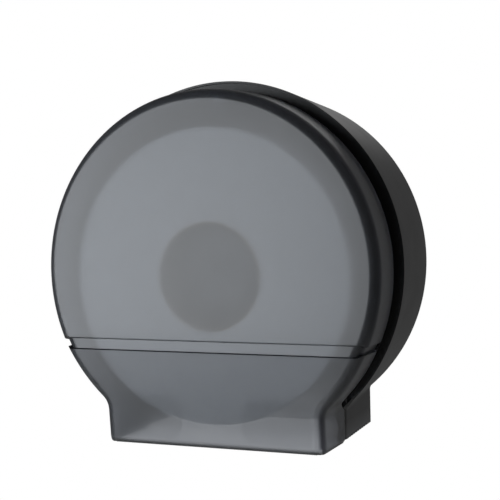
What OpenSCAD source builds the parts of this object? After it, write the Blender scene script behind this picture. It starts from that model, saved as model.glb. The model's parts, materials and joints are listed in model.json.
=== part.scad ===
// Jumbo toilet roll dispenser: a moulded housing with a squared chin, and a see-through cover
// that swings down on two pins. X is to the right, +Y runs into the wall and +Z is up.
// The origin is on the wall, at the centre of the wall fixings and of the spindle.

/* [Paper roll] */
// Outside radius of a full roll
roll_r = 113.2; // [105:0.1:120]
// Width of the roll
roll_w = 88.9; // [80:0.1:96]
// Outside radius of the cardboard core
core_r = 42; // [40:0.1:44]
// Thickness of the cardboard core
core_wall = 1.5; // [1:0.1:2.5]
// Distance from the wall to the back of the roll
roll_back = 31.1; // [28:0.1:38]

/* [Housing] */
// Free room round a full roll at the back of the drum
roll_room = 20.2; // [18:0.1:26]
// Room under a full roll, down to the chin's lower edge
outlet_room = 15.5; // [12:0.1:20]
// Depth of the drum, from the wall to its rim
drum_depth = 87.5; // [84:0.5:90]
// How much wider in radius the drum is at its rim than at the wall
drum_flare = 6.9; // [4:0.1:9]
// Wall of the housing
body_wall = 2.6; // [2:0.1:3.5]
// Thickness of the back plate
back_plate = 3; // [2.5:0.1:4]
// Half width of the chin at the wall
chin_back_w = 86.5; // [80:0.5:92]
// Half width of the chin at its front edge
chin_front_w = 90.2; // [86:0.1:94]
// How far the chin's front edge stands back from the drum's rim
chin_set_back = 10.5; // [8:0.5:13]
// Radius of the inward corner between drum and chin
body_shoulder_r = 5; // [3:0.5:12]
// Height of the back plate's stiffening ribs
rib_h = 5; // [3:0.5:8]
// Thickness of the stiffening ribs
rib_t = 2; // [1.5:0.1:3]

/* [Cover] */
// Step in from the housing's rim to the cover's side
rim_step = 5.8; // [4:0.1:7]
// How far the cover is centred below the housing's drum
cover_sink = 2.1; // [0:0.1:3]
// Wall of the cover
cover_wall = 2.5; // [2:0.1:3]
// Room between the roll's front and the cover's outer face
front_room = 10; // [8:0.1:14]
// Radius of the cover's rounded front edge
edge_r = 8; // [5:0.5:9]
// Shadow gap between the housing's rim and the cover's skirt
shadow_gap = 9.5; // [6:0.5:12]
// Joint gap between the cover and the housing's chin
joint_gap = 0.6; // [0.4:0.1:1.5]
// Radius of the cover's inward corner between drum and chin
cover_shoulder_r = 13; // [8:0.5:18]
// Backward slope of the lower panel, in degrees
panel_tilt = 4.7; // [2:0.1:5]
// How far the cover's lower edge hangs below the housing
cover_drop = 1.8; // [0.5:0.1:3]

/* [Cover band] */
// Upper edge of the recessed band, below the spindle's axis
band_top = 55.5; // [48:0.1:58]
// Height of the recessed band
band_h = 6.1; // [5:0.1:10]
// Depth of the recessed band
band_depth = 2; // [1:0.1:2.2]

/* [Tear edges] */
// Distance between the teeth of the tear strip
tooth_pitch = 4.2; // [3:0.1:7]
// Length of the strip's teeth
tooth_h = 2.2; // [1.5:0.1:3]
// Distance between the notches along the chin's sides
side_pitch = 6; // [5:0.1:8]
// Height of the side notches
notch_h = 2.4; // [1:0.1:3]
// Width of the side notches
notch_w = 3.4; // [2:0.1:4.5]
// Thickness of the tear strip
strip_t = 1.6; // [1.2:0.1:2]
// Depth of the tear strip behind the cover's lip
strip_d = 4; // [3.5:0.5:7]

/* [Hub and spindle] */
// Outside radius of the turning hub
hub_r = 34.1; // [32:0.1:36]
// Length of the turning hub
hub_len = 86; // [80:0.5:92]
// Outside radius of the fixed post
post_r = 24; // [20:0.5:26]
// Wall of the post and of the hub's tubes
tube_wall = 2.4; // [2:0.1:3]
// Radius of the post's flange
flange_r = 38; // [36:0.5:42]
// Thickness of the post's flange
flange_t = 5; // [4.5:0.5:7]
// Thickness of the thrust washer
washer_t = 1.5; // [1:0.1:2.5]
// Shank radius of the flange and keeper screws
screw_r = 1.75; // [1.5:0.05:2]
// Running clearance of turning parts, on the radius
run_gap = 0.08; // [0.04:0.01:0.1]

/* [Hinge] */
// Radius of the hinge pins
pin_r = 2; // [1.6:0.1:2.4]
// Distance from the chin's front edge forward to the hinge axis
hinge_fwd = 5; // [4.5:0.1:6]
// Height of the hinge axis above the housing's lower edge
hinge_up = 4; // [3.8:0.1:5]
// Radius of the hinge bosses
hinge_boss_r = 4.6; // [4.2:0.1:5]

/* [Key lock] */
// Radius of the lock's threaded barrel
barrel_r = 8; // [7:0.1:9]
// Radius of the turning plug
plug_r = 5.5; // [4.5:0.1:6]
// Length of the barrel below its head
barrel_len = 17.8; // [16:0.1:19]
// Distance from the drum's rim back to the lock's axis
lock_in = 19.5; // [17.5:0.5:23]
// Reach of the lock's cam from its axis
cam_reach = 21; // [19:0.5:24]
// Width of the lock's cam
cam_w = 8; // [6:0.5:9]
// Width of the keeper's front flange
keeper_w = 35; // [32:0.5:40]

/* [Wall fixings] */
// Distance between the wall screws across
fix_x = 120; // [110:1:130]
// Distance between the wall screws up and down
fix_z = 100; // [90:1:110]
// Radius of the wall screw holes
fix_r = 2.75; // [2.25:0.05:3.25]

/* [Hidden] */
$fn = 96;

housing_col = "#2b2c2e";
smoke_col = [0.42, 0.44, 0.47, 0.55];
inner_col = "#3a3b3e";
steel_col = "#b9bcc0";
brass_col = "#b79a56";
paper_col = "#f1efe9";
card_col = "#a98a63";

eps = 0.01;
over = 20;              // how far a cutter runs past what it cuts
mouth_bite = 0.05;      // how far the mouth's cutter enters the walls beside it
seat = 0.3;             // rest gap between curved faces
fit = 0.05;             // gap round a fixed shank in its hole

// Roll: it hangs on the hub, so its centre lies below the spindle's axis
roll_drop = core_r - core_wall - hub_r - seat;
roll_front = roll_back + roll_w;

// Housing
drum_back_r = roll_r + roll_room + body_wall;
drum_rim_r = drum_back_r + drum_flare;
mouth_z = roll_drop + roll_r + outlet_room;
chin_depth = drum_depth - chin_set_back;
body_corner = 0.5;      // radius of the chin's lower corners
lip_w = 1.6;            // width of the rim's lip
lip_h = 2;              // how far the lip stands forward of the trough's floor
lip_ease = 0.2;         // softening of the lip's edges
fold = 9;               // depth of the chin's rounded front corner
side_plain = 6;         // plain part of the chin's side edges, next to the back plate

// Cover
cover_r = drum_rim_r - rim_step;
cover_w = chin_front_w + 0.3;
cover_depth = roll_front + front_room;
cover_back = drum_depth + shadow_gap;
cover_chin_back = chin_depth + joint_gap;
cover_z = mouth_z + cover_drop;
cover_draft = 0.4;      // how much the skirt widens towards its back edge
mouth_lip = 3;          // depth of the cover's lower front lip
tooth_land = 0.2;       // width of a tooth's blunt tip on the tear strip
cover_corner = 3;       // radius of the cover's lower corners
front_corner = 1.5;     // the same on its front face
lower_edge = 0.2;       // share of the front rounding that its lower edge has
band_edge = 0.7;        // height of the band's sloped edges
band_lap = 1.5;         // how much taller the band is on the inner face
band_low = band_top + band_h;
pad_h = 33;             // height of the thickened pads of the lower panel
pad_up = 5.6;           // their height above the cover's lower edge
pad_in = 26;            // half of the space between them
pad_proud = 0.6;

// Neck of the housing, inside the cover's skirt
neck_gap = 1.8;
neck_r = cover_r - cover_wall - neck_gap;
neck_wall = 2.2;
neck_lift = 1;          // height of the neck's lower edge above the housing's
neck_reach = 3;         // how far the neck runs into the skirt
neck_front = cover_back + neck_reach;
chin_gap = 1.7;
neck_w = cover_w - cover_wall - chin_gap;
neck_chin_reach = 7;
neck_chin_front = chin_depth + neck_chin_reach;
ridge_h = 3.7;
ridge_t = 1.2;
ridge_y = (drum_depth + cover_back) / 2;
ridge_run_out = 8;      // height over which the ridge runs out above the shoulder
shoulder_z = sqrt(cover_r * cover_r - cover_w * cover_w) + cover_sink;
zone_top = shoulder_z - 5.2;
zone_low = zone_top + 11;

// Hinge
hinge_y = -(chin_depth + hinge_fwd);
hinge_z = -(mouth_z - hinge_up);
ear_in = 6;             // thickness of the housing's hinge ears
pin_head_r = 3.6;
pin_head_t = 1.6;
pin_bite = 2.4;         // how far a pin enters the cover
boss_gap = 0.4;         // side play between ear and cover boss

// Spindle and hub
pad_r = flange_r + 2;
pad_t = 2;
post_base = back_plate + pad_t;
washer_y = post_base + flange_t;
hub_y = washer_y + washer_t + seat;
hub_end = hub_y + hub_len;
post_end = hub_end + seat;
hub_bore = post_r + run_gap;
cap_r = post_r + 5;
cap_t = 3;
hub_spokes = 8;
spoke_t = 2;
stop_r = core_r + 8;    // flange of the hub that keeps the roll off the back plate
stop_t = 2.5;
flange_screws = 3;
screw_ring = (post_r + flange_r) / 2;
screw_bite = 4;         // how far a screw enters what it holds
screw_head_r = 3.4;
screw_head_t = 2.2;
screw_seat = washer_y - screw_head_t - seat;
cap_screw_r = 2.5;
web_t = 4;              // end web of the post, which takes the cap's screw

// Lock
lock_back = drum_depth - lock_in;
function drum_r_at(back) = drum_back_r + drum_flare * back / drum_depth;
pad_top = drum_r_at(lock_back) - 2;
pad_low = pad_top - 7.8;
lock_pad_r = 13;
lock_head_r = 11;
lock_head_t = 1.8;
nut_t = 4;
nut_r = 10.9;
star_t = 0.8;
barrel_low = pad_top - barrel_len;
cam_t = 2;
cam_top = barrel_low - 0.3;
cam_low = cam_top - cam_t;
square = 6.6;           // square end of the plug
cam_screw_r = 1.5;
cam_head_r = 4.4;
cam_head_t = 1.8;
key_w = 1.6;
key_len = 7;
key_deep = 8;

// Keeper
keeper_t = 2;
keeper_x = 14;          // inner face of the keeper's arm
keeper_space = cover_depth - cover_wall - neck_front;
keeper_flange = 0.4 * keeper_space;
keeper_front = neck_front + keeper_flange + 0.22 * keeper_space;
arm_tail = 8;           // length of the arm behind the cam
arm_end = lock_back - cam_w / 2 - arm_tail;
window_room = 3;        // room in the window in front of the cam's reach
flange_up = 8.6;        // height of the flange above the cam
arm_run = 4;            // length over which the arm rises to the flange
arm_play = 1.5;
window_play = 1.5;      // room above and below the cam in the window
arm_rim = 2;            // metal above and below the window
flange_top = cam_top + flange_up;
arm_top = cam_top + window_play + arm_rim;
arm_low = cam_low - window_play - arm_rim;
boss_r = cover_r - 0.8;

// ---- outlines ----------------------------------------------------------------------------

crown_steps = 44;
flank_steps = 9;
shoulder_steps = 6;
corner_steps = 4;

function arc(c, r, from, to, n, first = 0) =
    [for (i = [first:n]) let (a = from + (to - from) * i / n) [c[0] + r * cos(a), c[1] + r * sin(a)]];

function clamp(v, low, high) = max(low, min(high, v));

// 0 on the drum, 1 on the chin, and between them on the shoulder
function zone(z) = clamp((-zone_top - z) / (zone_low - zone_top), 0, 1);

function flat_points(pts) = [for (p = pts) [p[0], p[1], 0]];

// Right half of the outline from crown to mouth: [x, z, dip], where dip is how deep the point
// lies in the cover's band
function half_outline(r, w, low, shoulder, corner, top, bottom, dip) =
    let (
        reach = r + shoulder,
        cz = -sqrt(reach * reach - (w + shoulder) * (w + shoulder)),
        turn = atan2(cz, w + shoulder),
        at_top = -asin(top / r),
        at_low = -asin(bottom / r),
        step = (90 - at_top) / (crown_steps + 0.5),
        rd = r - dip
    )
    concat(
        flat_points(arc([0, 0], r, 90 - step / 2, at_top, crown_steps)),
        [for (z = [-top - band_edge, -bottom + band_edge]) [sqrt(rd * rd - z * z), z, dip]],
        flat_points(arc([0, 0], r, at_low, turn, flank_steps)),
        flat_points(arc([w + shoulder, cz], shoulder, turn + 180, 180, shoulder_steps, 1)),
        flat_points(arc([w - corner, corner - low], corner, 0, -90, corner_steps))
    );

// The same outline with its drum centred below the spindle's axis by sink
function sunk_outline(r, w, low, shoulder, corner, top, bottom, dip, sink) =
    [for (p = half_outline(r, w, low - sink, shoulder, corner, top - sink, bottom - sink, dip))
        [p[0], p[1] - sink, p[2]]];

// A closed ring from the half outline and its mirror image
function ring(half, ys) =
    let (last = len(half) - 1)
    concat(
        [for (j = [0:last]) [half[j][0], ys[j], half[j][1]]],
        [for (k = [0:last]) let (j = last - k) [-half[j][0], ys[j], half[j][1]]]
    );

function mix(a, b, t) = a + (b - a) * t;

// A cup from two lists of rings: outer runs from the rim to the closed end, inner back to the rim.
// The closed end lies forward of the rim, or behind it with to_wall.
module cup(outer, inner, to_wall = false) {
    rings = concat(outer, inner);
    n = len(rings[0]);
    m = n / 2;
    no = len(outer);
    nr = len(rings);
    walls = [for (i = [0:nr - 1]) if (i != no - 1) let (k = (i + 1) % nr)
        for (j = [0:n - 1]) let (a = i * n + j, b = i * n + (j + 1) % n,
            c = k * n + (j + 1) % n, d = k * n + j)
            each [[a, b, c], [a, c, d]]];
    function strip(i, flip) = [for (j = [0:m - 2])
        let (a = i * n + j, b = i * n + j + 1, c = i * n + n - 2 - j, d = i * n + n - 1 - j)
            each (flip ? [[a, c, b], [a, d, c]] : [[a, b, c], [a, c, d]])];
    faces = concat(walls, strip(no - 1, false), strip(no, true));
    polyhedron(points = [for (r = rings) each r],
        faces = to_wall ? [for (f = faces) [f[0], f[2], f[1]]] : faces, convexity = 10);
}

// ---- housing -----------------------------------------------------------------------------

// Height of the ridge at height z: full round the drum, and run out above the shoulder
function ridge_at(z) = ridge_h * clamp((z + zone_top) / ridge_run_out, 0.02, 1);

// One section of the housing: [depth on the drum, radius, depth on the chin, half width, lower
// edge, 1 on the ridge, how far it is centred below the drum's axis]
function body_ring(s) =
    let (
        half = sunk_outline(s[1], s[3], s[4], body_shoulder_r, body_corner, band_top, band_low, 0, s[6]),
        out = [for (p = half) let (k = s[5] * ridge_at(p[1]) / s[1])
            [p[0] * (1 + k), p[1] + (p[1] + s[6]) * k, p[2]]]
    )
    ring(out, [for (p = half) -mix(s[0], s[2], zone(p[1]))]);

function chin_w_at(back) = chin_back_w + (chin_front_w - chin_back_w) * back / chin_depth;

module body_shell() {
    floor_y = drum_depth - lip_h;
    neck_low = mouth_z - neck_lift;
    in_r = neck_r - neck_wall;
    in_w = neck_w - neck_wall;
    in_low = mouth_z - body_wall;
    outer = [
        [neck_front, neck_r, neck_chin_front, neck_w, neck_low, 0, cover_sink],
        [ridge_y + ridge_t, neck_r, chin_depth + 3, neck_w, neck_low, 0, cover_sink],
        [ridge_y + ridge_t * 0.8, neck_r, chin_depth + 2.8, neck_w, neck_low, 1, cover_sink],
        [ridge_y - ridge_t * 0.1, neck_r, chin_depth + 2.2, neck_w, neck_low, 1, cover_sink],
        [ridge_y - ridge_t * 0.3, neck_r, chin_depth + 2, neck_w, neck_low, 0, cover_sink],
        [floor_y, neck_r, chin_depth, neck_w, neck_low, 0, cover_sink],
        [floor_y, drum_rim_r - lip_w - lip_ease, chin_depth - fold * 0.09,
            mix(neck_w, chin_front_w, 0.18), mouth_z, 0, 0],
        [drum_depth, drum_rim_r - lip_w, chin_depth - fold * 0.32,
            mix(neck_w, chin_front_w, 0.5), mouth_z, 0, 0],
        [drum_depth, drum_rim_r - lip_ease, chin_depth - fold * 0.56,
            mix(neck_w, chin_front_w, 0.8), mouth_z, 0, 0],
        [drum_depth - 2 * lip_ease, drum_rim_r, chin_depth - fold, chin_w_at(chin_depth - fold),
            mouth_z, 0, 0],
        [0, drum_back_r, 0, chin_back_w, mouth_z, 0, 0]
    ];
    inner = [
        [back_plate, drum_r_at(back_plate) - body_wall, back_plate, chin_w_at(back_plate) - body_wall,
            in_low, 0, 0],
        [floor_y - body_wall, drum_r_at(floor_y) - body_wall, chin_depth - fold,
            chin_w_at(chin_depth - fold) - body_wall, in_low, 0, 0],
        [floor_y - body_wall + lip_ease, in_r, chin_depth - body_wall, in_w, in_low, 0, cover_sink],
        [neck_front, in_r, neck_chin_front, in_w, in_low, 0, cover_sink]
    ];
    cup([for (s = outer) body_ring(s)], [for (s = inner) body_ring(s)], to_wall = true);
}

// Triangular notches as a cutter: they stand on the first axis, each as wide as its share of the
// pitch, and the cutter is open below
module saw(length, pitch, width, height) {
    n = floor(length / pitch);
    margin = (length - n * pitch) / 2;
    polygon(concat(
        [[0, -over], [0, 0]],
        [for (i = [0:n - 1]) let (mid = margin + (i + 0.5) * pitch)
            each [[mid - width / 2, 0], [mid, height], [mid + width / 2, 0]]],
        [[length, 0], [length, -over]]
    ));
}

module chin_mouth() {
    w_back = chin_w_at(back_plate) - body_wall;
    w_front = chin_w_at(chin_depth - fold) - body_wall;
    w_neck = neck_w - neck_wall;
    half = [for (p = [[w_back, back_plate], [w_front, chin_depth - fold],
            [w_neck, chin_depth - body_wall], [w_neck, drum_depth + over]])
        [p[0] + mouth_bite, -p[1]]];
    floor_z = mouth_z - outlet_room * 0.75;
    translate([0, 0, -mouth_z - over])
        linear_extrude(over + mouth_z - floor_z)
            polygon(concat(half, [for (i = [len(half) - 1:-1:0]) [-half[i][0], half[i][1]]]));
}

module side_teeth() {
    start = back_plate + side_plain;
    length = chin_depth - fold - start;
    reach = chin_front_w - chin_back_w + 2 * body_wall;
    for (side = [-1, 1])
        translate([side * (chin_back_w - body_wall + reach / 2) - reach / 2, -start, -mouth_z])
            rotate([90, 0, 90])
                mirror([1, 0, 0])
                    linear_extrude(reach)
                        translate([0, -eps])
                            saw(length, side_pitch, notch_w, notch_h);
}

module back_ribs() {
    ring_r = (drum_back_r + pad_r) / 2 + 16;
    rib_end = drum_back_r - body_wall - 1;
    translate([0, -back_plate + eps, 0])
        rotate([90, 0, 0]) {
            for (a = [0, 65, 115, 180, 245, 295])
                rotate([0, 0, a])
                    translate([pad_r - 1, -rib_t / 2, 0])
                        cube([rib_end - pad_r + 1, rib_t, rib_h + eps]);
            difference() {
                cylinder(r = ring_r + rib_t, h = rib_h - 1);
                translate([0, 0, -eps])
                    cylinder(r = ring_r, h = rib_h);
            }
        }
}

module at_fixings() {
    for (x = [-1, 1], z = [-1, 1])
        translate([x * fix_x / 2, 0, z * fix_z / 2])
            rotate([90, 0, 0])
                children();
}

module at_flange_screws() {
    for (i = [0:flange_screws - 1])
        rotate([0, 90 + i * 360 / flange_screws, 0])
            translate([screw_ring, 0, 0])
                rotate([90, 0, 0])
                    children();
}

module hinge_ears() {
    for (side = [-1, 1])
        translate([side * (neck_w - ear_in / 2), hinge_y, hinge_z])
            rotate([0, 90, 0])
                cylinder(r = hinge_boss_r - 0.8, h = ear_in, center = true);
}

module rear_body() {
    color(housing_col)
    difference() {
        union() {
            difference() {
                body_shell();
                chin_mouth();
                side_teeth();
            }
            back_ribs();
            rotate([90, 0, 0])
                translate([0, 0, back_plate - eps])
                    cylinder(r = pad_r, h = pad_t + eps);
            at_fixings()
                translate([0, 0, back_plate - eps])
                    cylinder(r = fix_r * 2.9, h = pad_t + eps);
            translate([0, -lock_back, pad_low])
                cylinder(r = lock_pad_r, h = pad_top - pad_low);
            hinge_ears();
        }
        at_fixings()
            translate([0, 0, -eps])
                cylinder(r = fix_r, h = back_plate + pad_t + 1);
        at_flange_screws()
            translate([0, 0, post_base - screw_bite])
                cylinder(r = screw_r + fit, h = screw_bite + 1);
        translate([0, -lock_back, pad_top])
            cylinder(r = lock_head_r + seat, h = over);
        translate([0, -lock_back, pad_low - 1])
            cylinder(r = barrel_r + fit, h = pad_top - pad_low + 2);
        translate([-neck_w - 1, hinge_y, hinge_z])
            rotate([0, 90, 0])
                cylinder(r = pin_r + fit, h = 2 * neck_w + 2);
    }
}

// ---- spindle and hub ---------------------------------------------------------------------

module along_y(from) {
    translate([0, -from, 0])
        rotate([90, 0, 0])
            children();
}

module tube(r_out, r_in, h) {
    difference() {
        cylinder(r = r_out, h = h);
        translate([0, 0, -1])
            cylinder(r = r_in, h = h + 2);
    }
}

module spindle_post() {
    color(inner_col)
    difference() {
        along_y(post_base) {
            tube(flange_r, post_r - tube_wall, flange_t);
            tube(post_r, post_r - tube_wall, post_end - post_base);
            translate([0, 0, post_end - post_base - web_t])
                tube(post_r, cap_screw_r + fit, web_t);
        }
        at_flange_screws() {
            translate([0, 0, post_base - 1])
                cylinder(r = screw_r + fit, h = flange_t + 2);
            translate([0, 0, screw_seat])
                cylinder(r = screw_head_r + seat, h = flange_t);
        }
    }
}

module pan_screw(shank, length, head, head_t) {
    difference() {
        union() {
            translate([0, 0, -length])
                cylinder(r = shank, h = length + eps);
            cylinder(r = head, h = head_t);
        }
        for (a = [0, 90])
            rotate([0, 0, a])
                translate([-head * 0.6, -0.4, head_t / 2])
                    cube([head * 1.2, 0.8, head_t]);
    }
}

module spindle_screws() {
    color(steel_col)
    at_flange_screws()
        translate([0, 0, screw_seat])
            pan_screw(screw_r, screw_seat - post_base + screw_bite - 0.2, screw_head_r, screw_head_t);
}

module thrust_washer() {
    color("white")
    along_y(washer_y)
        tube(screw_ring - screw_head_r - seat, hub_bore, washer_t);
}

module core_hub() {
    inner_r = hub_bore + tube_wall;
    color(inner_col)
    along_y(hub_y) {
        tube(hub_r, hub_r - tube_wall, hub_len);
        tube(inner_r, hub_bore, hub_len);
        for (i = [0:hub_spokes - 1])
            rotate([0, 0, i * 360 / hub_spokes])
                translate([inner_r - 0.5, -spoke_t / 2, 4])
                    cube([hub_r - tube_wall - inner_r + 1, spoke_t, hub_len - 8]);
        translate([0, 0, hub_len / 2])
            tube(hub_r - 1, inner_r - 1, spoke_t);
        translate([0, 0, roll_back - seat - stop_t - hub_y])
            tube(stop_r, hub_r - 1, stop_t);
    }
}

module hub_cap() {
    color(inner_col)
    along_y(post_end)
        difference() {
            union() {
                cylinder(r = cap_r, h = cap_t - 1);
                translate([0, 0, cap_t - 1 - eps])
                    rotate_extrude()
                        polygon([[0, 0], [cap_r, 0], [cap_r - 1, 1], [0, 1]]);
            }
            translate([0, 0, -1])
                cylinder(r = cap_screw_r + fit, h = cap_t + 2);
        }
}

module hub_cap_screw() {
    color(steel_col)
    along_y(post_end + cap_t)
        pan_screw(cap_screw_r, cap_t + web_t, screw_head_r * 1.4, screw_head_t);
}

module roll_core() {
    color(card_col)
    translate([0, 0, -roll_drop])
        along_y(roll_back)
            tube(core_r, core_r - core_wall, roll_w);
}

module paper_roll() {
    color(paper_col)
    translate([0, 0, -roll_drop])
        along_y(roll_back)
            tube(roll_r, core_r, roll_w);
}

// ---- cover -------------------------------------------------------------------------------

// How far the outer face lies back at height z: nothing above the band's lower edge
function slope_at(z) = z < -band_low ? (-band_low - z) * tan(panel_tilt) : 0;

// The cover's outline, set in by off and raised at its lower edge by grow
function cover_outline(off, grow) =
    let (lap = off < cover_wall ? 0 : band_lap)
    sunk_outline(cover_r - off, cover_w - off, cover_z - grow, cover_shoulder_r + off,
        max(cover_corner - off, front_corner), band_top - lap, band_low + lap, band_depth, cover_sink);

// A ring of the cover at depth back from the front face
function front_ring(off, back, grow) =
    let (half = cover_outline(off, grow))
    ring(half, [for (p = half) -cover_depth + slope_at(p[1]) + back + p[2]]);

function skirt_ring(off, grow) =
    let (half = cover_outline(off, grow))
    ring(half, [for (p = half) -mix(cover_back, cover_chin_back, zone(p[1]))]);

module cover_shell() {
    inner_edge = edge_r - cover_wall;
    turns = [0, 18, 36, 54, 72, 90];
    outer = concat(
        [skirt_ring(-cover_draft, 0)],
        [for (a = turns)
            front_ring(edge_r * (1 - cos(a)), edge_r * (1 - sin(a)), lower_edge * edge_r * (1 - cos(a)))]
    );
    inner = concat(
        [for (a = [90, 60, 30, 0])
            front_ring(cover_wall + inner_edge * (1 - cos(a)), cover_wall + inner_edge * (1 - sin(a)), cover_wall)],
        [skirt_ring(cover_wall - cover_draft, cover_wall)]
    );
    cup(outer, inner);
}

// Places children on the inner face of the lower panel, with their z axis pointing into the cover
module on_lower_panel() {
    translate([0, -cover_depth, -band_low])
        rotate([panel_tilt, 0, 0])
            translate([0, cover_wall, 0])
                rotate([-90, 0, 0])
                    children();
}

module hinge_bosses() {
    for (side = [-1, 1])
        translate([side * (neck_w + boss_gap), hinge_y, hinge_z])
            rotate([0, side * 90, 0])
                cylinder(r = hinge_boss_r, h = cover_w - cover_wall / 2 - neck_w - boss_gap);
}

module cover_pads() {
    pad_out = cover_w - cover_wall - edge_r;
    low = cover_z - pad_up - band_low;
    top = low - pad_h;
    round_r = pad_h * 0.27;
    on_lower_panel()
        for (side = [0, 1])
            mirror([side, 0, 0])
                translate([0, 0, pad_proud - cover_wall / 2])
                    linear_extrude(cover_wall / 2)
                        union() {
                            translate([pad_in + round_r, top])
                                square([pad_out - pad_in - round_r, pad_h]);
                            translate([pad_in, top + round_r])
                                square([round_r + 1, pad_h - 2 * round_r]);
                            for (z = [top + round_r, low - round_r])
                                translate([pad_in + round_r, z])
                                    circle(r = round_r);
                        }
}

module keeper_boss() {
    intersection() {
        translate([-keeper_w / 2, -keeper_front, flange_top + eps])
            cube([keeper_w, keeper_flange, boss_r - flange_top]);
        translate([0, 0, -cover_sink])
            along_y(0)
                cylinder(r = boss_r, h = cover_depth);
    }
}

module at_keeper_screws() {
    for (x = [-1, 1])
        translate([x * keeper_w * 0.3, -keeper_front + keeper_flange / 2, 0])
            children();
}

module front_cover() {
    mouth_w = cover_w - cover_wall;
    color(smoke_col)
    difference() {
        union() {
            difference() {
                cover_shell();
                translate([-mouth_w, -cover_depth + slope_at(-cover_z) + mouth_lip, -cover_z - over])
                    cube([2 * mouth_w, cover_depth, over + cover_wall + 2]);
            }
            hinge_bosses();
            cover_pads();
            keeper_boss();
        }
        for (side = [-1, 1])
            translate([side * neck_w, hinge_y, hinge_z])
                rotate([0, side * 90, 0])
                    cylinder(r = pin_r + run_gap, h = pin_bite + boss_gap);
        at_keeper_screws()
            translate([0, 0, flange_top - 1])
                cylinder(r = screw_r + fit, h = screw_bite + 1);
    }
}

// A ledge behind the cover's lower lip, with its teeth towards the wall
module tear_strip() {
    strip_w = cover_w - cover_wall - 4;
    strip_y = cover_depth - slope_at(-cover_z) - mouth_lip;
    color(smoke_col)
    translate([-strip_w, -strip_y, -cover_z])
        linear_extrude(strip_t)
            difference() {
                square([2 * strip_w, strip_d]);
                translate([0, strip_d + eps])
                    mirror([0, 1])
                        saw(2 * strip_w, tooth_pitch, tooth_pitch - tooth_land, tooth_h);
            }
}

module keeper_bracket() {
    window_front = -(lock_back + cam_reach + window_room);
    window_len = cam_reach + window_room + cam_w / 2 + arm_play;
    flange_back = keeper_flange - keeper_front;
    color(steel_col)
    difference() {
        union() {
            translate([-keeper_w / 2, -keeper_front, flange_top - keeper_t])
                cube([keeper_w, keeper_flange, keeper_t]);
            translate([keeper_x, 0, 0])
                rotate([90, 0, 90])
                    linear_extrude(keeper_t)
                        polygon([[-keeper_front, arm_low], [-arm_end, arm_low], [-arm_end, arm_top],
                            [flange_back + arm_run, arm_top], [flange_back, flange_top - keeper_t],
                            [flange_back, flange_top], [-keeper_front, flange_top]]);
        }
        translate([keeper_x - 1, window_front, cam_low - window_play])
            cube([keeper_t + 2, window_len, cam_t + 2 * window_play]);
        at_keeper_screws()
            translate([0, 0, flange_top - keeper_t - 1])
                cylinder(r = screw_r + fit, h = keeper_t + 2);
    }
}

module keeper_screws() {
    color(steel_col)
    at_keeper_screws()
        translate([0, 0, flange_top - keeper_t])
            mirror([0, 0, 1])
                pan_screw(screw_r, keeper_t + screw_bite - 0.3, screw_head_r, screw_head_t);
}

// ---- hinge pins --------------------------------------------------------------------------

// The pin's head bears on the ear's inner face, and its shank ends in the cover's boss
module hinge_pin(side) {
    head_x = neck_w - ear_in;
    tip_x = neck_w + pin_bite;
    color(steel_col)
    translate([side * (head_x - pin_head_t), hinge_y, hinge_z])
        rotate([0, side * 90, 0]) {
            cylinder(r = pin_head_r, h = pin_head_t);
            cylinder(r = pin_r, h = tip_x - head_x + pin_head_t);
        }
}

module hinge_pin_left() {
    hinge_pin(-1);
}

module hinge_pin_right() {
    hinge_pin(1);
}

// ---- key lock ----------------------------------------------------------------------------

module at_lock(z) {
    translate([0, -lock_back, z])
        children();
}

module lock_barrel() {
    color(steel_col)
    at_lock(barrel_low)
        difference() {
            union() {
                cylinder(r = barrel_r, h = barrel_len + eps);
                translate([0, 0, barrel_len])
                    cylinder(r = lock_head_r, h = lock_head_t);
            }
            translate([0, 0, -1])
                cylinder(r = plug_r + run_gap, h = barrel_len + lock_head_t + 2);
        }
}

module lock_washer() {
    color(steel_col)
    at_lock(pad_low - star_t)
        tube(nut_r - 1, barrel_r + fit, star_t);
}

module lock_nut() {
    color(steel_col)
    at_lock(pad_low - star_t - nut_t)
        difference() {
            cylinder(r = nut_r, h = nut_t, $fn = 6);
            translate([0, 0, -1])
                cylinder(r = barrel_r + fit, h = nut_t + 2);
        }
}

module lock_plug() {
    top = pad_top + lock_head_t - 0.2;
    color(brass_col)
    difference() {
        union() {
            at_lock(barrel_low)
                cylinder(r = plug_r, h = top - barrel_low);
            at_lock(cam_low + 0.1)
                translate([-square / 2, -square / 2, 0])
                    cube([square, square, barrel_low - cam_low]);
        }
        at_lock(top - key_deep)
            translate([-key_w / 2, -key_len / 2, 0])
                cube([key_w, key_len, key_deep + 1]);
        at_lock(cam_low - 1)
            cylinder(r = cam_screw_r + fit, h = 7);
    }
}

// At rest the cam points forward, clear of the keeper; a quarter turn takes it into the window
module lock_cam() {
    hole = square + 2 * fit;
    color(steel_col)
    at_lock(cam_low)
        difference() {
            union() {
                cylinder(r = cam_w * 0.75, h = cam_t);
                translate([-cam_w / 2, -(cam_reach - cam_w / 2), 0])
                    cube([cam_w, cam_reach - cam_w / 2, cam_t]);
                translate([0, -(cam_reach - cam_w / 2), 0])
                    cylinder(r = cam_w / 2, h = cam_t);
            }
            translate([-hole / 2, -hole / 2, -1])
                cube([hole, hole, cam_t + 2]);
        }
}

module cam_screw() {
    color(steel_col)
    at_lock(cam_low)
        mirror([0, 0, 1])
            pan_screw(cam_screw_r, 5, cam_head_r, cam_head_t);
}

rear_body();
spindle_post();
spindle_screws();
thrust_washer();
core_hub();
hub_cap();
hub_cap_screw();
roll_core();
paper_roll();
front_cover();
tear_strip();
keeper_bracket();
keeper_screws();
hinge_pin_left();
hinge_pin_right();
lock_barrel();
lock_washer();
lock_nut();
lock_plug();
lock_cam();
cam_screw();
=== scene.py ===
import json
import math

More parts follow.
